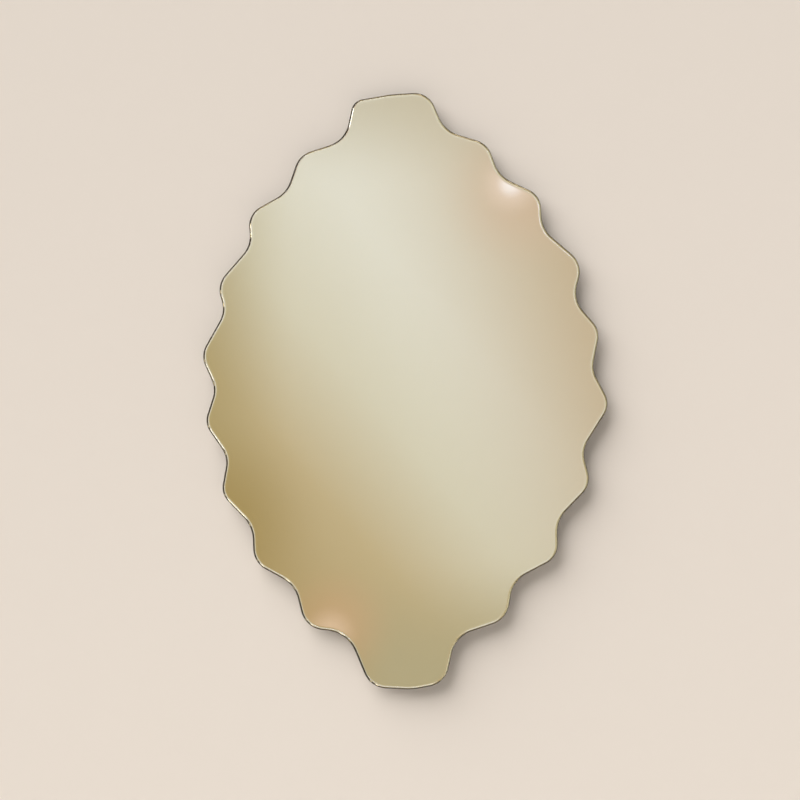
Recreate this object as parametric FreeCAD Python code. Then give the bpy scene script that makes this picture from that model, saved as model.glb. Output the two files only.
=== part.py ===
import FreeCAD, Part
import math
import os

from FreeCAD import Vector

# A frameless wall mirror with an irregular scalloped edge: tinted glass, silvered and filmed at
# the back, bonded to a shaped board that hangs on a pair of interlocking hook rails.
#
# Millimetres. X runs along the wall, Y into the wall and Z up. The wall's surface is the plane
# Y = 0, and the origin lies on it, midway between the wall rail's screw holes.

# ---------------------------------------------------------------- the mirror's edge
mirror_height = 895.5         # overall, from the top tab to the bottom one

# The edge is a belt round circles, with straight runs on their common tangents. Each circle is
# its centre right of and above the mirror's middle, and its radius, at the height above. A
# positive radius is a lobe, inside the edge, and a negative one a dip that it curves in around.
top_tab = [
    (14, 415, 32.5),
    (-7, 311, 135),
    (-61, 418, 20),
]
left_edge = [
    (-127.5, 410, -43.5),
    (-130.5, 325.5, 36),
    (-215, 329, -45),
    (-202, 248, 32),
    (-276, 233, -43),
    (-244, 151.5, 34.5),
    (-314, 124, -40.5),
    (-269, 52, 34),
    (-325, 1, -38),
    (-269, -44, 29),
    (-307.5, -108, -39),
    (-245, -145, 29),
    (-278, -224, -49.5),
    (-192, -236, 36),
    (-206, -322.5, -46.5),
    (-120, -322, 37),
    (-121, -409, -49.5),
]
bottom_tab = [
    (-27, -409.5, 37),
    (4, -343, 105),
    (31, -409, 35),
]
right_edge = [
    (114, -403.5, -45),
    (120, -315, 37),
    (204, -315, -46),
    (197, -230, 32.5),
    (276, -212, -47),
    (242, -130.5, 34),
    (308, -95, -39),
    (273, -19, 31),
    (321, 38, -38),
    (259, 82, 31.5),
    (299, 148, -42),
    (226.5, 178.5, 36),
    (250, 265, -45),
    (172.5, 273, 32),
    (181, 359, -49.5),
    (97, 343, 35),
    (94.5, 430, -47.5),
]
drawn_circles = top_tab + left_edge + bottom_tab + right_edge
drawn_top = max(z + radius for x, z, radius in drawn_circles if radius > 0)
drawn_bottom = min(z - radius for x, z, radius in drawn_circles if radius > 0)
outline_scale = mirror_height / (drawn_top - drawn_bottom)


def to_size(rows):
    """Rows of millimetres that go with the edge, made larger or smaller with the mirror's height."""
    return [tuple(outline_scale * value for value in row) for row in rows]


edge_circles = to_size(drawn_circles)

# ---------------------------------------------------------------- the layers, front to back
glass_thickness = 5.0
glass_bevel = 3.0             # polished slope round the front
glass_arris = 1.0             # ground slope round the back
coating_thickness = 0.2       # silver, copper and its grey backing paint
coating_margin = 0.3          # from the glass's back slope to the coating's edge
film_thickness = 0.2          # vinyl safety film
film_margin = 1.5             # from the coating's edge to the film's edge
tape_thickness = 1.6          # bond line between film and board
board_thickness = 9.0
board_inset = 14.0            # from the glass edge in to the board's edge

# ---------------------------------------------------------------- tape and adhesive
# Each strip or bead stands upright: its distance right of the mirror's middle, and its lower and
# upper ends above it.
tape_width = 25.0
tape_runs = to_size([
    (-205, -150, 215),
    (-115, -300, 305),
    (0, -400, 400),
    (115, -285, 295),
    (205, -140, 190),
])
bead_width = 9.0
bead_runs = to_size([
    (-160, -220, 250),
    (-58, -370, 365),
    (58, -360, 350),
    (160, -215, 240),
])

# ---------------------------------------------------------------- hook rails
rail_thickness = 2.0
rail_lip_gap = 0.6            # between the two rails' lips
rail_face_gap = 0.2           # between one rail's lip and the other rail's plate
rail_seat_gap = 0.1           # under the hook's sloped seat
rail_foot = 14.0              # plate below the screw line
rail_head = 9.0               # plate above the screw line, up to the bend
rail_lip = 9.0                # straight back of the lip, from the bend to the tip's slope
rail_bend_radius = 0.8
rail_groove_depth = 0.3       # V groove that marks the screw line
wall_rail_length = 340.0
wall_hole_pitch = 100.0
wall_hole_radius = 2.75       # for 5 mm wall screws
hanger_rail_length = 300.0
hanger_hole_pitch = 80.0
rail_hole_steps = [-1.5, -0.5, 0.5, 1.5]
hang_height = 235.0           # wall screw line above the mirror's middle

# ---------------------------------------------------------------- screws
screw_radius = 1.75
screw_reach = 7.5             # how far a screw goes into the board
screw_head_radius = 3.4
screw_head_height = 2.2
recess_width = 0.8            # arms of the cross recess
recess_span = 3.6
recess_depth = 1.2
screw_gap = 0.1               # round a screw in the rail, the washer and the bumper
pilot_gap = 0.02              # round a screw in the board

# ---------------------------------------------------------------- bumpers
bumper_places = to_size([(-90, -325), (90, -325)])     # left and right, as the strips are placed
bumper_radius = 9.5
bumper_floor = 3.0            # rubber under the washer
washer_radius = 4.2
washer_thickness = 0.8
washer_gap = 0.3              # round the washer in the bumper's bore

# ---------------------------------------------------------------- worked out from these
# The rails' lips and plates lie side by side, so their thicknesses and gaps set the stand-off.
rail_depth = 4 * rail_thickness + rail_lip_gap + 2 * rail_face_gap
lip_offset = (rail_depth + rail_lip_gap) / 2
lip_bottom = rail_head + (math.sqrt(2) - 1) * rail_thickness
lip_top = lip_bottom + lip_offset + rail_lip + rail_thickness
# A half turn about this height carries the wall rail's profile onto the hanger rail's.
pair_height = (lip_bottom + rail_depth + lip_top - rail_thickness - lip_offset) / 2

board_back = -rail_depth
tape_back = board_back - board_thickness
film_back = tape_back - tape_thickness
coating_back = film_back - film_thickness
glass_back = coating_back - coating_thickness
coating_inset = glass_arris + coating_margin
film_inset = coating_inset + film_margin
hanger_screw_line = 2 * pair_height + rail_seat_gap


def on_mirror(x, z, y):
    """A point given from the mirror's middle, in the part's own frame."""
    return Vector(x, y, z - hang_height)


def tangent_runs(inset):
    """The straight run from each circle to the next: where it leaves the one and meets the other."""
    runs = []
    following = edge_circles[1:] + edge_circles[:1]
    for (x, z, radius), (next_x, next_z, next_radius) in zip(edge_circles, following):
        bulge = radius - inset
        next_bulge = next_radius - inset
        across, up = next_x - x, next_z - z
        lean = math.asin((next_bulge - bulge) / math.hypot(across, up))
        heading = math.atan2(up, across) - lean
        inward_x, inward_z = -math.sin(heading), math.cos(heading)
        leaves = (x - bulge * inward_x, z - bulge * inward_z)
        meets = (next_x - next_bulge * inward_x, next_z - next_bulge * inward_z)
        runs.append((leaves, meets))
    return runs


def arc_between(centre, start, end, y):
    """The shorter arc round centre from start to end."""
    (cx, cz), (sx, sz), (ex, ez) = centre, start, end
    middle = Vector(sx + ex - 2 * cx, 0, sz + ez - 2 * cz)
    middle.normalize()
    middle.multiply(math.hypot(sx - cx, sz - cz))
    through = on_mirror(cx + middle.x, cz + middle.z, y)
    return Part.Arc(on_mirror(sx, sz, y), through, on_mirror(ex, ez, y)).toShape()


def edge_outline(inset, y):
    """The scalloped edge as a wire on the plane at y, drawn in by the inset."""
    runs = tangent_runs(inset)
    pieces = []
    for index, (x, z, radius) in enumerate(edge_circles):
        arrives = runs[index - 1][1]
        leaves, meets = runs[index]
        pieces.append(arc_between((x, z), arrives, leaves, y))
        pieces.append(Part.LineSegment(on_mirror(*leaves, y), on_mirror(*meets, y)).toShape())
    return Part.Wire(pieces)


def scalloped_sheet(inset, back, thickness):
    """A flat sheet with the mirror's outline, from its back plane forward."""
    return Part.Face(edge_outline(inset, back)).extrude(Vector(0, -thickness, 0))


def edges_on_plane(solid, y):
    """The edges of a solid that lie wholly on the plane at y."""
    near = 1e-4
    return [e for e in solid.Edges if abs(e.BoundBox.YMin - y) < near and abs(e.BoundBox.YMax - y) < near]


def mirror_glass():
    """Float glass with a polished edge: a narrow bevel in front and an arris behind."""
    sheet = scalloped_sheet(0, glass_back, glass_thickness)
    bevelled = sheet.makeChamfer(glass_bevel, edges_on_plane(sheet, glass_back - glass_thickness))
    return bevelled.makeChamfer(glass_arris, edges_on_plane(bevelled, glass_back))


def silver_coating():
    return scalloped_sheet(coating_inset, coating_back, coating_thickness)


def safety_film():
    return scalloped_sheet(film_inset, film_back, film_thickness)


def tape_strip(x, low, high):
    """Double-sided foam tape, cut square."""
    corner = on_mirror(x - tape_width / 2, low, tape_back - tape_thickness)
    return Part.makeBox(tape_width, tape_thickness, high - low, corner)


def adhesive_bead(x, low, high):
    """A bead of mirror adhesive, pressed flat between film and board, its ends drawn in."""
    half = bead_width / 2
    rim = [
        (x - half, high - half),
        (x - half, low + half),
        (x - half / 2, low),
        (x + half / 2, low),
        (x + half, low + half),
        (x + half, high - half),
        (x + half / 2, high),
        (x - half / 2, high),
    ]
    corners = [on_mirror(across, up, tape_back) for across, up in rim]
    return Part.Face(Part.makePolygon(corners + corners[:1])).extrude(Vector(0, -tape_thickness, 0))


def turned(outline):
    """A solid of revolution about the Y axis, from points of radius and Y."""
    corners = [Vector(radius, y, 0) for radius, y in outline]
    return Part.Face(Part.makePolygon(corners + corners[:1])).revolve(Vector(0, 0, 0), Vector(0, 1, 0), 360)


def cross_recess(head_top):
    """The driver's cross in a screw head, open at head_top."""
    half_span, half_width = recess_span / 2, recess_width / 2
    low = head_top - recess_depth
    flat_arm = Part.makeBox(recess_span, recess_depth, recess_width, Vector(-half_span, low, -half_width))
    upright_arm = Part.makeBox(recess_width, recess_depth, recess_span, Vector(-half_width, low, -half_span))
    return flat_arm.fuse(upright_arm)


def pan_head_screw(seat):
    """A pan-headed screw along Y, its head standing on the seat and its shank in the board."""
    head_top = seat + screw_head_height
    body = turned([
        (0, head_top),
        (screw_head_radius, head_top),
        (screw_head_radius, seat),
        (screw_radius, seat),
        (screw_radius, board_back - screw_reach),
        (0, board_back - screw_reach),
    ])
    return body.cut(cross_recess(head_top))


def hanger_screw_places():
    return [Vector(step * hanger_hole_pitch, 0, hanger_screw_line) for step in rail_hole_steps]


def bumper_screw_places():
    return [on_mirror(x, z, 0) for x, z in bumper_places]


def pilot_hole(place):
    """The blind hole drilled in the board for a screw."""
    mouth = place + Vector(0, board_back, 0)
    return Part.makeCylinder(screw_radius + pilot_gap, screw_reach + pilot_gap, mouth, Vector(0, -1, 0))


def backing_board():
    """Board cut to the mirror's shape, set in from the glass and drilled for its screws."""
    sheet = scalloped_sheet(board_inset, board_back, board_thickness)
    holes = [pilot_hole(place) for place in hanger_screw_places() + bumper_screw_places()]
    return sheet.cut(Part.makeCompound(holes))


def bent_profile(corners):
    """A closed wire through corners of (distance off the wall, height, bend radius)."""
    points = [Vector(0, -off, height) for off, height, radius in corners]
    bends = []
    for index, (off, height, radius) in enumerate(corners):
        here = points[index]
        back = (points[index - 1] - here).normalize()
        ahead = (points[(index + 1) % len(points)] - here).normalize()
        half_angle = back.getAngle(ahead) / 2
        reach = radius / math.tan(half_angle)
        middle = here + (back + ahead).normalize() * (radius / math.sin(half_angle) - radius)
        bends.append((here + back * reach, middle, here + ahead * reach))
    pieces = []
    for index, (start, middle, end) in enumerate(bends):
        pieces.append(Part.LineSegment(bends[index - 1][2], start).toShape())
        if corners[index][2]:
            pieces.append(Part.Arc(start, middle, end).toShape())
    return Part.Wire(pieces)


def hook_rail(length):
    """Extruded hook rail, as it sits on the wall: a flat plate, a bend, and a lip with a sloped tip."""
    face = rail_thickness
    lip_back, lip_face = lip_offset, lip_offset + rail_thickness
    groove = rail_groove_depth
    profile = bent_profile([
        (0, -rail_foot, 0),
        (face, -rail_foot, 0),
        (face, -groove, 0),
        (face - groove, 0, 0),
        (face, groove, 0),
        (face, rail_head, rail_bend_radius),
        (lip_face, rail_head + lip_offset, rail_bend_radius),
        (lip_face, lip_top, 0),
        (lip_back, lip_top - rail_thickness, 0),
        (lip_back, lip_bottom + lip_offset, rail_bend_radius),
        (0, lip_bottom, rail_bend_radius),
    ])
    return Part.Face(profile).extrude(Vector(length, 0, 0)).translated(Vector(-length / 2, 0, 0))


def drilled(rail, places, radius):
    """The rail with a plain round hole through it at each place."""
    holes = [Part.makeCylinder(radius, rail_depth, place, Vector(0, -1, 0)) for place in places]
    return rail.cut(Part.makeCompound(holes))


def wall_rail():
    """The rail on the wall, drilled for four wall screws."""
    places = [Vector(step * wall_hole_pitch, 0, 0) for step in rail_hole_steps]
    return drilled(hook_rail(wall_rail_length), places, wall_hole_radius)


def hanger_rail():
    """The same extrusion turned over and hooked on the wall rail, drilled for its screws."""
    rail = hook_rail(hanger_rail_length)
    rail.rotate(Vector(0, board_back / 2, pair_height), Vector(1, 0, 0), 180)
    rail.translate(Vector(0, 0, rail_seat_gap))
    return drilled(rail, hanger_screw_places(), screw_radius + screw_gap)


def hanger_rail_screws():
    screw = pan_head_screw(board_back + rail_thickness)
    return Part.makeCompound([screw.translated(place) for place in hanger_screw_places()])


def washer_seat():
    """The plane in a bumper on which its washer lies."""
    return board_back + bumper_floor


def bumper(place):
    """Moulded rubber bumper that stands the board off the wall, bored for its screw and washer."""
    bore = washer_radius + washer_gap
    body = turned([
        (screw_radius + screw_gap, board_back),
        (bumper_radius, board_back),
        (bumper_radius, 0),
        (bore, 0),
        (bore, washer_seat()),
        (screw_radius + screw_gap, washer_seat()),
    ])
    return body.translated(on_mirror(*place, 0))


def bumper_washers():
    washer = turned([
        (screw_radius + screw_gap, washer_seat()),
        (washer_radius, washer_seat()),
        (washer_radius, washer_seat() + washer_thickness),
        (screw_radius + screw_gap, washer_seat() + washer_thickness),
    ])
    return Part.makeCompound([washer.translated(place) for place in bumper_screw_places()])


def bumper_screws():
    screw = pan_head_screw(washer_seat() + washer_thickness)
    return Part.makeCompound([screw.translated(place) for place in bumper_screw_places()])


pieces = {
    "mirror_glass": mirror_glass(),
    "silver_coating": silver_coating(),
    "safety_film": safety_film(),
    "backing_board": backing_board(),
    "hanger_rail": hanger_rail(),
    "hanger_rail_screws": hanger_rail_screws(),
    "bumper_washers": bumper_washers(),
    "bumper_screws": bumper_screws(),
    "wall_rail": wall_rail(),
}
for number, run in enumerate(tape_runs, start=1):
    pieces[f"foam_tape_{number}"] = tape_strip(*run)
for number, run in enumerate(bead_runs, start=1):
    pieces[f"adhesive_bead_{number}"] = adhesive_bead(*run)
for name, place in zip(("bumper_left", "bumper_right"), bumper_places):
    pieces[name] = bumper(place)

os.makedirs("parts", exist_ok=True)
for name, shape in pieces.items():
    shape.exportStep(f"parts/{name}.step")
    print(name, "valid" if shape.isValid() else "NOT VALID", len(shape.Solids), round(shape.Volume, 2))
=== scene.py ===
import cmath
import math

import bmesh
import bpy
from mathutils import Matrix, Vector, geometry, kdtree


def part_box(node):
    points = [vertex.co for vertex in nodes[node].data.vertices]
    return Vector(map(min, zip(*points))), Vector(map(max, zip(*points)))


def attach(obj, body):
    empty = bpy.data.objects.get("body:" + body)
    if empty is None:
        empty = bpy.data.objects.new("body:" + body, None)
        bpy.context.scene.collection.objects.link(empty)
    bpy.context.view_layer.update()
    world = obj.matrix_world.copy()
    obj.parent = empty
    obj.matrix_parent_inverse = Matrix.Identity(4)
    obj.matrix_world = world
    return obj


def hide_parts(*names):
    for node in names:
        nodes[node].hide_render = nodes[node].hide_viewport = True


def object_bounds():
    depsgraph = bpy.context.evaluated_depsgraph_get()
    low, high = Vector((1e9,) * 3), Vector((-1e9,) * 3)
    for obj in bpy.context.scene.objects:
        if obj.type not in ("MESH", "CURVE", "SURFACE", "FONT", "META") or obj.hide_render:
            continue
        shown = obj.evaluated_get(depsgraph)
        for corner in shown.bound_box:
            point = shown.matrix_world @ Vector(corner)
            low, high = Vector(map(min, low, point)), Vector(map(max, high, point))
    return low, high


# A frameless wall mirror with an irregular scalloped edge, hung on a lift-off pair of hook rails.
# In metres: X runs right along the wall, Y into it and Z up, from midway between its screws.

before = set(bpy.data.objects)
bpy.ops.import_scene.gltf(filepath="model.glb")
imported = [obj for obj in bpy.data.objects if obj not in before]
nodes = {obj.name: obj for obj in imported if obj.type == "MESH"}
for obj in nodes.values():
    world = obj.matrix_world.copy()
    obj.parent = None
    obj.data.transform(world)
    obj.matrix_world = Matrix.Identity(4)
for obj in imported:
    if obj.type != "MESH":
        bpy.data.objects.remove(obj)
cad_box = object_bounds()


# ------------------------------------------------------------------------------- mirror glass
# One sheet of 5 mm float glass, tinted champagne and cut to an irregular scalloped outline. Its
# front edge is bevelled and polished, its back one only ground, and it is bonded on by its back.

mm = 0.001
hair = 0.01 * mm                # points nearer to each other than this are one
glass_depths = sorted({round(vertex.co.y, 6) for vertex in nodes["mirror_glass"].data.vertices})
glass_front, bevel_foot, arris_foot, glass_back = glass_depths
glass_bevel = bevel_foot - glass_front
glass_arris = glass_back - arris_foot
coating_gap = 0.02 * mm         # keeps the glass's back face off the coating's front face
edge_step = math.radians(2.5)


def edge_corners(node, depth):
    """The corners of a CAD node's outline at one depth, anticlockwise, as complex x + zi."""
    beside = {}
    for edge in node.data.edges:
        ends = [node.data.vertices[index].co for index in edge.vertices]
        if all(abs(end.y - depth) < hair for end in ends):
            one, other = [complex(round(end.x, 6), round(end.z, 6)) for end in ends]
            beside.setdefault(one, []).append(other)
            beside.setdefault(other, []).append(one)
    walk = [next(iter(beside))]
    while len(walk) < len(beside):
        walk.append(next(corner for corner in beside[walk[-1]] if corner not in walk[-2:]))
    area = sum((before.conjugate() * here).imag for before, here in zip(walk[-1:] + walk, walk))
    return walk if area > 0 else walk[::-1]


def true_edge(corners):
    """The smooth edge through those corners: its rounds are arcs again, finely divided, and its
    straight runs are left whole. Gives each point with the direction out from it."""
    count = len(corners)
    ahead = [corners[(index + 1) % count] for index in range(count)]
    on_arc = [
        abs(abs(after - here) - abs(here - before)) < 2 * hair
        for before, here, after in zip(corners[-1:] + corners, corners, ahead)
    ]

    def round_corner(index):
        """Which end of the run from this corner lies inside an arc, if either does."""
        return next((i % count for i in (index, index + 1) if on_arc[i % count]), None)

    edge = []
    for index in range(count):
        middle = round_corner(index)
        if middle is None:
            continue
        here, arriving = corners[middle], corners[middle] - corners[middle - 1]
        leaving = ahead[middle] - here
        turn = cmath.phase(leaving / arriving)
        inward = (leaving - arriving) / abs(leaving - arriving)
        centre = here + inward * abs(leaving) / (2 * math.sin(abs(turn) / 2))
        parts = math.ceil(abs(turn) / edge_step)
        arc_ends = round_corner(index + 1) is None
        for part in range(parts + arc_ends):
            spoke = (corners[index] - centre) * cmath.exp(1j * turn * part / parts)
            edge.append((centre + spoke, math.copysign(1, turn) * spoke / abs(spoke)))
    return edge


mirror_edge = true_edge(edge_corners(nodes["mirror_glass"], arris_foot))


def edge_at(inset, depth):
    """The mirror's edge drawn in by an inset, as points at one depth."""
    places = [point - inset * outward for point, outward in mirror_edge]
    return [Vector((place.real, depth, place.imag)) for place in places]


def eased(section, radii, steps=5):
    """A section's corners, each one between its ends rounded off by its own radius."""
    soft = [section[0]]
    for before, corner, after, radius in zip(section, section[1:], section[2:], radii):
        start = corner + (before - corner) * radius / abs(before - corner)
        end = corner + (after - corner) * radius / abs(after - corner)
        for t in [step / steps for step in range(steps + 1)]:
            soft.append(start * (1 - t) ** 2 + corner * 2 * t * (1 - t) + end * t ** 2)
    return soft + [section[-1]]


def add_bands(mesh, rings):
    """Faces between each ring of vertices and the next, smooth across."""
    for ring, deeper in zip(rings, rings[1:]):
        for index, vertex in enumerate(ring):
            mesh.faces.new((ring[index - 1], vertex, deeper[index], deeper[index - 1])).smooth = True


def piece_from(mesh, name, body, stands_for):
    """A finished mesh as a piece that rides on a body, in place of the nodes it stands for."""
    bmesh.ops.recalc_face_normals(mesh, faces=mesh.faces)
    data = bpy.data.meshes.new(name)
    mesh.to_mesh(data)
    mesh.free()
    piece = bpy.data.objects.new(name, data)
    bpy.context.scene.collection.objects.link(piece)
    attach(piece, body)
    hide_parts(*stands_for)
    return piece


shoulder_easing = 0.9 * mm      # polished round, where the bevel meets the front
edge_easing = 0.3 * mm
front_border = 3 * mm           # how far the bands reach in over the front and the back
back_border = 2 * mm
glass_section = eased(
    [
        complex(glass_bevel + front_border, glass_front),
        complex(glass_bevel, glass_front),
        complex(0, bevel_foot),
        complex(0, arris_foot),
        complex(glass_arris, glass_back - coating_gap),
        complex(glass_arris + back_border, glass_back - coating_gap),
    ],
    [shoulder_easing] + 3 * [edge_easing],
)
glass_mesh = bmesh.new()
glass_rings = [
    [glass_mesh.verts.new(place) for place in edge_at(point.real, point.imag)]
    for point in glass_section
]
add_bands(glass_mesh, glass_rings)
glass_mesh.faces.new(glass_rings[0])
glass_mesh.faces.new(glass_rings[-1])
glass = piece_from(glass_mesh, "polished_mirror_glass", "mirror", ["mirror_glass"])


class Signal:
    """Something that varies over a surface. Arithmetic on one adds Math nodes to its finish."""

    def __init__(self, finish, socket):
        self.finish = finish
        self.socket = socket

    def math(self, operation, *values):
        return self.finish.add("ShaderNodeMath", {"operation": operation}, dict(enumerate(values)))

    def __add__(self, other):
        return self.math("ADD", self, other)

    def __rsub__(self, other):
        return self.math("SUBTRACT", other, self)

    def __mul__(self, other):
        return self.math("MULTIPLY", self, other)

    def __truediv__(self, other):
        return self.math("DIVIDE", self, other)

    __radd__ = __add__
    __rmul__ = __mul__

    def rising(self, low, high):
        """0 below low and 1 above high, easing between them. It falls where low is the larger."""
        values = {"Value": self, "From Min": low, "From Max": high}
        return self.finish.add("ShaderNodeMapRange", {"interpolation_type": "SMOOTHSTEP"}, values)

    def output(self, name):
        """Another output of the node that this one comes from."""
        return Signal(self.finish, self.socket.node.outputs[name])


class Wiring:
    """A node tree, to which nodes are added one call at a time."""

    def __init__(self, tree):
        self.tree = tree

    def connect(self, node, values):
        """Sets a node's sockets to plain values, or links signals to them."""
        for name, value in values.items():
            if isinstance(value, Signal):
                self.tree.links.new(value.socket, node.inputs[name])
            else:
                node.inputs[name].default_value = value

    def add(self, kind, settings, values, output=0):
        """A new node: its settings come first, then its sockets."""
        node = self.tree.nodes.new(kind)
        for name, value in settings.items():
            if name == "stops":
                stops = node.color_ramp.elements
                while len(stops) < len(value):
                    stops.new(1.0)
                for stop, (place, stop_colour) in zip(stops, value):
                    stop.position, stop.color = place, stop_colour
            else:
                setattr(node, name, value)
        self.connect(node, values)
        return Signal(self, node.outputs[output])

    def seen_directly(self):
        """1 for what the camera sees, also in a reflection or through glass, and 0 for light."""
        ray = self.add("ShaderNodeLightPath", {}, {}, "Is Camera Ray")
        in_mirror = ray.math("MAXIMUM", ray, ray.output("Is Glossy Ray"))
        return ray.math("MAXIMUM", in_mirror, ray.output("Is Transmission Ray"))


class Finish(Wiring):
    """A material on one Principled shader, whose fixed values are on the shader's own sockets."""

    def __init__(self, name, fixed):
        self.material = bpy.data.materials.new(name)
        self.material.use_nodes = True
        super().__init__(self.material.node_tree)
        self.shader = self.tree.nodes["Principled BSDF"]
        self.vary(fixed)

    def vary(self, values):
        """Sets or links the shader's sockets."""
        self.connect(self.shader, values)

    def where(self):
        """Places on the piece, in metres."""
        return self.add("ShaderNodeTexCoord", {}, {}, "Object")

    def along(self, axis):
        """One coordinate of those places."""
        return self.add("ShaderNodeSeparateXYZ", {}, {"Vector": self.where()}, axis)

    def stretched(self, x, y, z):
        """Places multiplied along each axis, for a pattern that runs one way."""
        values = {0: self.where(), 1: (x, y, z)}
        return self.add("ShaderNodeVectorMath", {"operation": "MULTIPLY"}, values)

    def noise(self, place, scale, detail=2.0, roughness=0.5):
        """Clouds from 0 to 1, the finer the larger their scale."""
        values = {"Vector": place, "Scale": scale, "Detail": detail, "Roughness": roughness}
        return self.add("ShaderNodeTexNoise", {}, values, "Fac")

    def mix(self, factor, first, second):
        """A colour between two others."""
        values = {0: factor, 6: first, 7: second}
        return self.add("ShaderNodeMix", {"data_type": "RGBA"}, values, 2)

    def bump(self, height, distance):
        """A normal from a height between 0 and 1, which stands for that distance."""
        return self.add("ShaderNodeBump", {}, {"Height": height, "Distance": distance}, "Normal")


def colour(red, green, blue):
    """A colour as it looks on a screen, from 0 to 255, for a shader."""
    shares = [level / 255 for level in (red, green, blue)]
    linear = [s / 12.92 if s < 0.04045 else ((s + 0.055) / 1.055) ** 2.4 for s in shares]
    return (*linear, 1.0)


def dress(piece, finish):
    """Gives a piece its finish. A CAD node keeps its mesh and has its slot filled."""
    if not piece.material_slots:
        piece.data.materials.append(finish.material)
    for slot in piece.material_slots:
        slot.material = finish.material


glass_finish = Finish("champagne_glass", {
    "Transmission Weight": 1.0, "IOR": 1.52, "Specular IOR Level": 0.25,
})
# The bevel and the ground arris are tinted dark brown: partly the glass's own tint through its edge,
# partly painted shade that draws the dark line along the rim.
face_tint = colour(252, 249, 238)
edge_tint_and_painted_shade = colour(96, 82, 52)   # darker through the edge where there is more glass, and darker still as painted shade for the rim's dark line
ground_tint_and_painted_shade = colour(92, 70, 38)
clear_to = glass_front + 0.35 * mm
deep_from = glass_front + 0.85 * mm
ground_blur = 0.1 * mm
glass_depth = glass_finish.along("Y")
before_back = glass_depth.rising(glass_back - coating_gap, glass_back - 4 * coating_gap)
ground = before_back * glass_depth.rising(arris_foot - ground_blur, arris_foot + ground_blur)
# the band of the bevel that carries the darker tint and the painted shade of the rim's dark line
thick_edge_and_shade_band = before_back * glass_depth.rising(clear_to, deep_from)
grinding_marks = glass_finish.noise(glass_finish.where(), 900, 3)
tint = glass_finish.mix(thick_edge_and_shade_band, face_tint, edge_tint_and_painted_shade)
glass_finish.vary({
    "Base Color": glass_finish.mix(ground, tint, ground_tint_and_painted_shade),
    "Roughness": ground * (0.22 + 0.2 * grinding_marks),
})
dress(glass, glass_finish)


# ------------------------------------------------------------------------------ silver coating
# The glass's silvering: a film of silver and copper on its back, which gives the reflection, and
# the grey-green backing paint over it. A thin border of the paint shows from behind.

silvering = Finish("silvering", {})
silver_colour = (0.91, 0.83, 0.665, 1.0)
silver_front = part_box("silver_coating")[0].y
behind_silver = silvering.along("Y").rising(silver_front + 0.05 * mm, silver_front + 0.15 * mm)
paint_mottle = silvering.noise(silvering.where(), 260, 4, 0.6)
paint = silvering.mix(paint_mottle, colour(104, 110, 104), colour(131, 135, 126))
silvering.vary({
    "Base Color": silvering.mix(behind_silver, silver_colour, paint),
    "Metallic": 1 - behind_silver,
    "Roughness": behind_silver * (0.4 + 0.25 * paint_mottle),
})
dress(nodes["silver_coating"], silvering)


# -------------------------------------------------------------------------------- safety film
# Self-adhesive vinyl with a woven backing, rolled on over the whole of the paint so that a broken
# mirror holds together. It is cut a little inside the paint's border.

film_finish = Finish("woven_safety_film", {"Specular IOR Level": 0.35})
weave_pitch = 1.1 * mm
thread = 2 * math.pi / weave_pitch
warp = film_finish.along("X").math("SINE", film_finish.along("X") * thread)
weft = film_finish.along("Z").math("SINE", film_finish.along("Z") * thread)
weave = 0.5 + 0.5 * warp * weft
film_dust = film_finish.noise(film_finish.where(), 45, 5, 0.65)
film_grey = film_finish.mix(film_dust, colour(138, 141, 142), colour(163, 165, 164))
film_finish.vary({
    "Base Color": film_finish.mix(weave * 0.35, film_grey, colour(108, 111, 113)),
    "Roughness": 0.5 + 0.2 * weave,
    "Normal": film_finish.bump(weave, 0.08 * mm),
})
dress(nodes["safety_film"], film_finish)


# ------------------------------------------------------------------------ foam tape, adhesive
# Five upright strips of double-sided foam tape hold the glass to its board while four beads of
# neutral mirror adhesive between them cure. Both end up pressed to the same thickness.

foam = Finish("foam_tape", {"Specular IOR Level": 0.2})
cells = foam.add("ShaderNodeTexVoronoi", {}, {"Vector": foam.where(), "Scale": 2600}, "Distance")
foam.vary({
    "Base Color": foam.mix(cells, colour(30, 30, 31), colour(64, 64, 66)),
    "Roughness": 0.75 + 0.2 * cells,
    "Normal": foam.bump(cells, 0.15 * mm),
})
for name in [f"foam_tape_{number}" for number in range(1, 6)]:
    dress(nodes[name], foam)

adhesive = Finish("mirror_adhesive", {
    "IOR": 1.42, "Subsurface Weight": 0.15, "Subsurface Radius": (4 * mm, 3 * mm, 2 * mm),
})
lumps = adhesive.noise(adhesive.where(), 220, 3)
adhesive.vary({
    "Base Color": adhesive.mix(lumps, colour(214, 210, 199), colour(232, 229, 220)),
    "Roughness": 0.32 + 0.25 * lumps,
    "Normal": adhesive.bump(lumps, 0.5 * mm),
})
for name in [f"adhesive_bead_{number}" for number in range(1, 5)]:
    dress(nodes[name], adhesive)


# ------------------------------------------------------------------------------ backing board
# 9 mm fibreboard, routed to the mirror's shape and set in from it. Its edge is sprayed black so
# that it can't be seen from the front, and the spray has drifted a little way over its back.

board_low, board_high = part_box("backing_board")
board_front, board_back = board_low.y, board_high.y
board_inset = board_low.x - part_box("mirror_glass")[0].x
board_easing = 0.6 * mm
board_border = 2 * mm
spray_grid = 7 * mm
weld_distance = 1e-7

board_mesh = bmesh.new()
from_edge = board_mesh.verts.layers.float.new("from_edge")
board_section = eased(
    [
        complex(board_inset + board_border, board_front),
        complex(board_inset, board_front),
        complex(board_inset, board_back),
        complex(board_inset + board_border, board_back),
    ],
    2 * [board_easing],
)
board_rings = [
    [board_mesh.verts.new(place) for place in edge_at(point.real, point.imag)]
    for point in board_section
]
add_bands(board_mesh, board_rings)
board_mesh.faces.new(board_rings[0])

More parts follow.
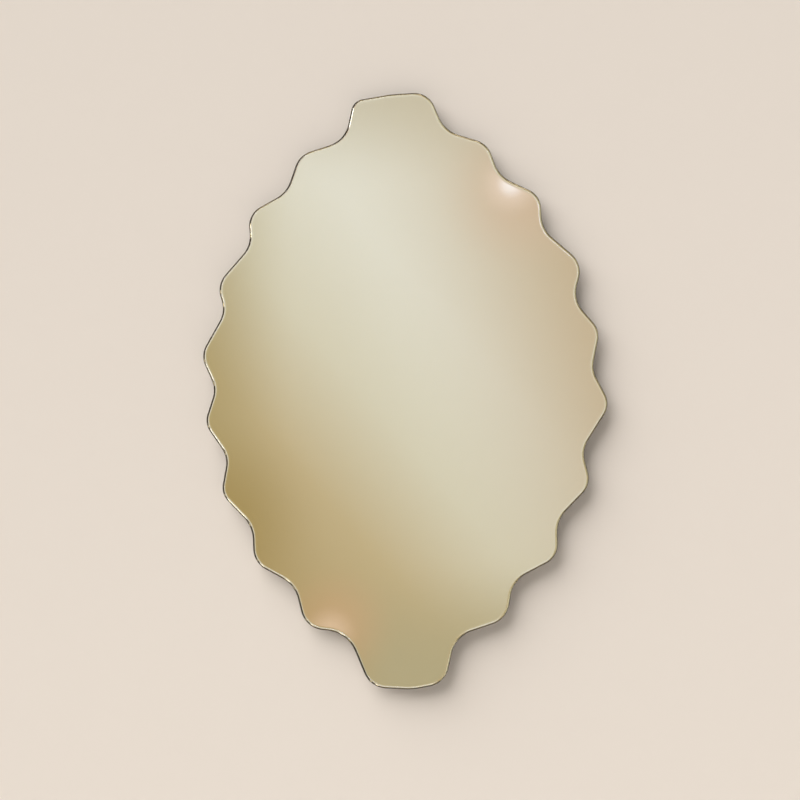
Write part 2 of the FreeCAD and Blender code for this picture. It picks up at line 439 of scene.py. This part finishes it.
# The back face has points all over it, each one knowing its distance from the edge.
rim = [vertex.co.copy() for vertex in board_rings[-1]]
across = range(math.floor(board_low.x / spray_grid), math.ceil(board_high.x / spray_grid))
upward = range(math.floor(board_low.z / spray_grid), math.ceil(board_high.z / spray_grid))
spread = [Vector((spray_grid * (i + j % 2 / 2), spray_grid * j)) for i in across for j in upward]
flat_rim = [point.xz for point in rim]
points, _, triangles, _, _, _ = geometry.delaunay_2d_cdt(
    flat_rim + spread, [], [list(range(len(rim)))], 1, weld_distance
)
rim_finder = kdtree.KDTree(len(rim))
for index, point in enumerate(rim):
    rim_finder.insert(point, index)
rim_finder.balance()
laid = {}
for corner in {corner for triangle in triangles for corner in triangle}:
    place = Vector((points[corner].x, board_back, points[corner].y))
    _, nearest, distance = rim_finder.find(place)
    laid[corner] = board_rings[-1][nearest] if distance < hair else board_mesh.verts.new(place)
    laid[corner][from_edge] = distance
for triangle in triangles:
    board_mesh.faces.new([laid[corner] for corner in triangle])
board = piece_from(board_mesh, "sprayed_backing_board", "mirror", ["backing_board"])

board_finish = Finish("sprayed_fibreboard", {"Specular IOR Level": 0.3})
fibres = board_finish.noise(board_finish.where(), 700, 5, 0.7)
pressing = board_finish.noise(board_finish.stretched(9, 9, 5), 1.0, 3, 0.6)
specks = board_finish.noise(board_finish.where(), 1600, 1).rising(0.66, 0.74)
raw_board = board_finish.mix(pressing, colour(158, 124, 88), colour(181, 147, 109))
raw_board = board_finish.mix(fibres * 0.5, raw_board, colour(124, 93, 62))
raw_board = board_finish.mix(specks * 0.5, raw_board, colour(214, 190, 154))
edge_distance = board_finish.add("ShaderNodeAttribute", {"attribute_name": "from_edge"}, {}, "Fac")
drift = board_finish.noise(board_finish.where(), 24, 4, 0.65)
droplets = board_finish.noise(board_finish.where(), 1100, 2)
black_to = 8 * mm               # from the edge, before drift and droplets bring it nearer
bare_from = 27 * mm
sprayed = (edge_distance + 10 * mm * drift + 8 * mm * droplets).rising(bare_from, black_to)
board_finish.vary({
    "Base Color": board_finish.mix(sprayed, raw_board, colour(27, 26, 25)),
    "Roughness": 0.82 - 0.22 * sprayed + 0.1 * fibres,
    "Normal": board_finish.bump(fibres, 0.12 * mm),
})
dress(board, board_finish)


# --------------------------------------------------------------------------------- hook rails
# Two lengths of the same extruded aluminium hook profile, left in mill finish and sawn square. The
# hanger rail is turned over, screwed to the board, and hooks down behind the wall rail's lip.

aluminium = Finish("mill_aluminium", {"Metallic": 1.0, "Anisotropic": 0.35})
die_lines = aluminium.noise(aluminium.stretched(3, 2600, 2600), 1.0, 3, 0.6)
handling = aluminium.noise(aluminium.where(), 38, 4, 0.6)
aluminium.vary({
    "Base Color": aluminium.mix(die_lines, colour(214, 216, 218), colour(238, 239, 240)),
    "Roughness": 0.2 + 0.14 * die_lines + 0.1 * handling,
    "Normal": aluminium.bump(die_lines, 0.03 * mm),
})


def softened(node, width):
    """Takes the sharpness off a CAD node's edges for the picture, without changing its mesh."""
    weld = node.modifiers.new("weld", "WELD")
    weld.merge_threshold = 0.001 * mm
    arris = node.modifiers.new("arris", "BEVEL")
    arris.width = width
    arris.segments = 2
    arris.limit_method = "ANGLE"
    arris.angle_limit = math.radians(35)
    arris.harden_normals = True


for name in ("hanger_rail", "wall_rail"):
    dress(nodes[name], aluminium)
    softened(nodes[name], 0.2 * mm)


# ---------------------------------------------------------------------------- screws, washers
# Pan-head wood screws with a cross recess: four through the hanger rail and one through the
# washer in each bumper. Screws and washers are bright zinc plated.

zinc = Finish("zinc_plate", {"Metallic": 1.0})
plating = zinc.noise(zinc.where(), 300, 4, 0.6)
passivation = zinc.noise(zinc.where(), 90, 2)
zinc.vary({
    "Base Color": zinc.mix(passivation, colour(208, 212, 217), colour(228, 225, 210)),
    "Roughness": 0.16 + 0.2 * plating,
    "Normal": zinc.bump(plating, 0.02 * mm),
})
for name in ("hanger_rail_screws", "bumper_screws", "bumper_washers"):
    dress(nodes[name], zinc)
    softened(nodes[name], 0.15 * mm)


# ------------------------------------------------------------------------------------ bumpers
# Two moulded rubber bumpers screwed to the back of the board near its lower end. They are as deep
# as the rails, so that the mirror hangs parallel to the wall and doesn't mark it.

rubber = Finish("black_rubber", {"Specular IOR Level": 0.4})
bloom = rubber.noise(rubber.where(), 120, 4, 0.65)
mould_grain = rubber.noise(rubber.where(), 2200, 2)
rubber.vary({
    "Base Color": rubber.mix(bloom, colour(28, 28, 29), colour(50, 50, 51)),
    "Roughness": 0.55 + 0.25 * bloom,
    "Normal": rubber.bump(mould_grain, 0.05 * mm),
})
for name in ("bumper_left", "bumper_right"):
    dress(nodes[name], rubber)
    softened(nodes[name], 0.8 * mm)


# ----------------------------------------------------------------------------------- the room
# Staging: a plain painted wall, seen only from its front so that the mirror can be looked at
# from behind as well, and a pale floor below the mirror.

wall_colour = colour(227, 216, 204)
wall_half_width = 1.25
wall_top = 1.1
wall_set_back = 0.1 * mm
floor_below = 1.45
floor_level = cad_box[0].z - floor_below
floor_half_width = 9.0


def staged_plane(name, corners):
    """A flat sheet with four corners that isn't part of the mirror."""
    data = bpy.data.meshes.new(name)
    data.from_pydata(corners, [], [(0, 1, 2, 3)])
    plane = bpy.data.objects.new(name, data)
    bpy.context.scene.collection.objects.link(plane)
    return plane


wall = staged_plane("wall", [
    (-wall_half_width, wall_set_back, floor_level),
    (wall_half_width, wall_set_back, floor_level),
    (wall_half_width, wall_set_back, wall_top),
    (-wall_half_width, wall_set_back, wall_top),
])
wall_paint = Finish("wall_paint", {"Roughness": 0.9, "Specular IOR Level": 0.1})
wall_paint.vary({"Base Color": wall_colour})
from_behind = wall_paint.add("ShaderNodeNewGeometry", {}, {}, "Backfacing")
one_sided = wall_paint.add("ShaderNodeMixShader", {}, {
    0: wall_paint.seen_directly() * (1 - from_behind),
    1: wall_paint.add("ShaderNodeBsdfTransparent", {}, {}),
    2: Signal(wall_paint, wall_paint.shader.outputs[0]),
})
wall_paint.connect(wall_paint.tree.nodes["Material Output"], {"Surface": one_sided})
dress(wall, wall_paint)
wall.visible_shadow = False     # or its shadow would lie on the floor in the views from behind

floor = staged_plane("floor", [
    (-floor_half_width, -floor_half_width, floor_level),
    (floor_half_width, -floor_half_width, floor_level),
    (floor_half_width, floor_half_width, floor_level),
    (-floor_half_width, floor_half_width, floor_level),
])
floor_finish = Finish("pale_floor", {"Roughness": 0.7})
floor_clouds = floor_finish.noise(floor_finish.where(), 1.5, 3)
floor_finish.vary({
    "Base Color": floor_finish.mix(floor_clouds, colour(196, 190, 182), colour(206, 201, 194)),
})
dress(floor, floor_finish)


# --------------------------------------------------------------------------------- the camera
# Square on to the mirror, as the photograph was taken. The mirror hangs a little to the right of
# the picture's middle and a little above it.

picture_width = 800             # pixels
pixel = 1.5 * mm                # at the mirror
mirror_centre_height = -235 * mm
right_of_middle = 5 * pixel
above_middle = 9 * pixel
camera_lens = bpy.data.cameras.new("camera")
camera_lens.lens = 85
camera_lens.sensor_width = 36
camera = bpy.data.objects.new("camera", camera_lens)
away = picture_width * pixel * camera_lens.lens / camera_lens.sensor_width
camera.location = (-right_of_middle, glass_front - away, mirror_centre_height - above_middle)
camera.rotation_euler = (math.radians(90), 0, 0)
bpy.context.scene.collection.objects.link(camera)
bpy.context.scene.camera = camera
bpy.context.scene.view_settings.view_transform = "Standard"


# ---------------------------------------------------------------------------------- the lamps
# A very soft main light from high on the left, which throws the mirror's shadow to the right and
# down, the fill of a pale room, and softboxes for the side and back views.

def lamp_at(name, kind, place, aim, energy):
    """A lamp at a place, turned towards what it lights."""
    lamp = bpy.data.lights.new(name, kind)
    lamp.energy = energy
    stand = bpy.data.objects.new(name, lamp)
    stand.location = place
    stand.rotation_euler = (Vector(aim) - Vector(place)).to_track_quat("-Z", "Y").to_euler()
    bpy.context.scene.collection.objects.link(stand)
    return lamp


mirror_middle = (cad_box[0] + cad_box[1]) / 2
main_light_from = (-1.3, -1.0, 1.65)
main_light = lamp_at("main_light", "SUN", main_light_from, (0, 0, 0), 4.5)
main_light.angle = math.radians(65)
for name, place, side, power in (
    ("rear_softbox", (-1.4, 2.3, 1.2), 1.6, 48),
    ("rear_fill", (2.2, 1.8, 0.2), 1.4, 18),
):
    softbox = lamp_at(name, "AREA", place, mirror_middle, power)
    softbox.size = side

sky = bpy.data.worlds.new("pale_room")
bpy.context.scene.world = sky
sky.use_nodes = True
room = Wiring(sky.node_tree)
fill_colour = colour(206, 214, 222)
fill_light = room.add("ShaderNodeBackground", {}, {"Color": fill_colour, "Strength": 0.23})
backdrop = room.add("ShaderNodeBackground", {}, {"Color": wall_colour, "Strength": 1.0})
room.connect(sky.node_tree.nodes["World Output"], {
    "Surface": room.add("ShaderNodeMixShader", {}, {
        0: room.seen_directly(), 1: fill_light, 2: backdrop,
    }),
})


# ---------------------------------------------------------------------------- what it reflects
# Staging: the soft picture of a room, on a screen behind the camera that only reflections see.
# The mirror's face shows the middle of it. The bevel looks out past that, at the room's dark and
# bright sides and its windows, and so gets its dark line and its glints.

screen_behind = 4.0
screen_half = 6.0
screen = staged_plane("room_screen", [
    (-screen_half, 0, -screen_half), (-screen_half, 0, screen_half),
    (screen_half, 0, screen_half), (screen_half, 0, -screen_half),
])
screen.location = (camera.location.x, -screen_behind, camera.location.z)
screen.visible_camera = False
screen.visible_diffuse = False
screen.visible_shadow = False
mirror_tint = (0.855, 0.730, 0.485)     # how much red, green and blue the mirror returns


def lights_up(red, green, blue, brighter=1.0):
    """The light that the tinted mirror returns as this colour on a screen."""
    light = colour(red, green, blue)
    return (*(brighter * level / tint for level, tint in zip(light, mirror_tint)), 1.0)


room_light = Finish("room_light", {"Base Color": (0, 0, 0, 1), "Specular IOR Level": 0.0})
rightward = room_light.along("X")
up = room_light.along("Z")


def spot(place_x, place_z, radius):
    """A soft round patch on the screen."""
    values = {0: room_light.where(), 1: (place_x, 0, place_z)}
    distance = room_light.add("ShaderNodeVectorMath", {"operation": "DISTANCE"}, values, "Value")
    return distance.rising(radius, 0.0)


# The glow in the mirror's face, from the dim lower left to the light upper right.
glow_start = 0.75               # how far from the middle, down to the left, the glow starts
glow_length = 1.1
rising_light = 0.75 * rightward + 0.66 * up
glow = room_light.add("ShaderNodeValToRGB", {"stops": [
    (0.00, lights_up(178, 155, 108)),
    (0.28, lights_up(192, 172, 130)),
    (0.61, lights_up(212, 203, 176)),
    (0.97, lights_up(224, 218, 199)),
]}, {"Fac": (rising_light + glow_start) / glow_length})

# What else the face shows: warmer and dimmer sides, and two lamps with a halo round each.
warm_right = (rightward + 0.3 * up).rising(0.0, 0.95)
dim_top = 0.8 * up.rising(0.75, 1.15)
dim_bottom = up.rising(-0.55, -1.0) * rightward.rising(-0.3, 0.0)
dark_left = 0.7 * rightward.rising(-0.36, -0.80)
dark_lower_left = 0.8 * spot(-0.66, -0.44, 0.42)
upper_halo = 0.5 * spot(0.42, 0.74, 0.32)
upper_lamp = 0.8 * spot(0.40, 0.78, 0.13)
upper_bulb = spot(0.40, 0.78, 0.06)
lower_halo = 0.5 * spot(-0.23, -0.81, 0.24)
lower_lamp = 0.6 * spot(-0.25, -0.84, 0.11)

# What only the bevel shows, farther out.
bright_below = up.rising(-1.3, -1.7)
bright_left = rightward.rising(-1.1, -1.5)
dim_above = up.rising(1.12, 1.3)
dark_right = rightward.rising(0.78, 0.95) * up.rising(-1.9, -1.5)
far_window = rightward.rising(1.25, 1.38) * rightward.rising(1.7, 1.58)
far_window = far_window * up.rising(0.4, 0.52) * up.rising(0.85, 0.7)
pale_band = rightward.rising(1.0, 1.3) * up.rising(0.9, 1.0) * up.rising(1.4, 1.2)
bright_lower_right = rightward.rising(0.86, 1.15) * up.rising(-1.5, -1.9)
near_window = rightward.rising(0.62, 0.72) * rightward.rising(1.02, 0.92)
near_window = near_window * up.rising(0.6, 0.75) * up.rising(1.4, 1.25)
room_beyond = (rightward * rightward).rising(8.0, 10.5)
lamp_below = spot(-0.75, -1.75, 0.6)

for share, shade in (
    (warm_right, lights_up(194, 172, 138)),
    (dim_top, lights_up(196, 184, 156)),
    (dim_bottom, lights_up(178, 164, 126)),
    (dark_left, lights_up(166, 147, 97)),
    (dark_lower_left, lights_up(162, 138, 84)),
    (upper_halo, lights_up(212, 180, 150)),
    (upper_lamp, lights_up(236, 214, 192)),
    (upper_bulb, lights_up(250, 240, 230)),
    (lower_halo, lights_up(206, 164, 124)),
    (lower_lamp, lights_up(232, 202, 170)),
    (bright_below, lights_up(200, 190, 170, 4.5)),
    (bright_left, lights_up(176, 176, 160, 2.6)),
    (dim_above, lights_up(150, 132, 96)),
    (dark_right, lights_up(30, 22, 8)),
    (far_window, lights_up(255, 250, 236, 5.0)),
    (pale_band, lights_up(200, 190, 170, 1.6)),
    (bright_lower_right, lights_up(190, 182, 164, 3.5)),
    (near_window, lights_up(255, 250, 236, 4.0)),
    (room_beyond, lights_up(212, 200, 168)),
    (lamp_below, lights_up(255, 248, 240, 7.0)),
):
    glow = room_light.mix(share, glow, shade)
room_light.vary({"Emission Color": glow, "Emission Strength": 1.0})
dress(screen, room_light)
